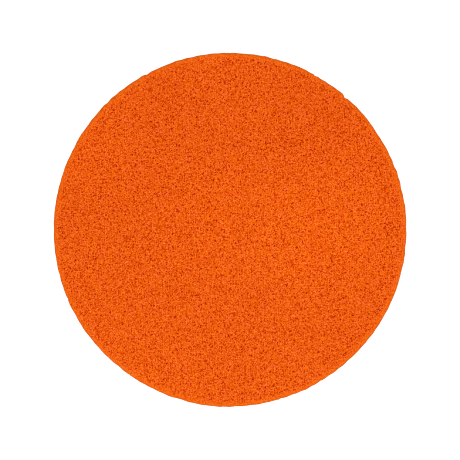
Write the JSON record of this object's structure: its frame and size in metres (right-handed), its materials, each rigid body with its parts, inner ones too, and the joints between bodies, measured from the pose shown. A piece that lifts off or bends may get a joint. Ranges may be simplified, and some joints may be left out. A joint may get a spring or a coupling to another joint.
{
  "type": "polishing pad",
  "caption": "Round flat foam polishing pad with a rounded face edge and a hook-and-loop backing that presses onto a polisher's backing plate.",
  "frame": {"origin": "centre of the loop face, the flat side that presses onto the backing plate", "axes": "+Z along the pad's axis, out of the polishing face; X and Y are any two directions across the round pad"},
  "size_m": [0.15, 0.15, 0.0277],
  "materials": {
    "foam": "matte",
    "glue": "satin",
    "cloth": "matte",
    "loops": "matte"
  },
  "bodies": {
    "root": {"foam_disc": "foam", "adhesive_film": "glue", "ground_cloth": "cloth", "loop_pile": "loops"}
  },
  "joints": []
}
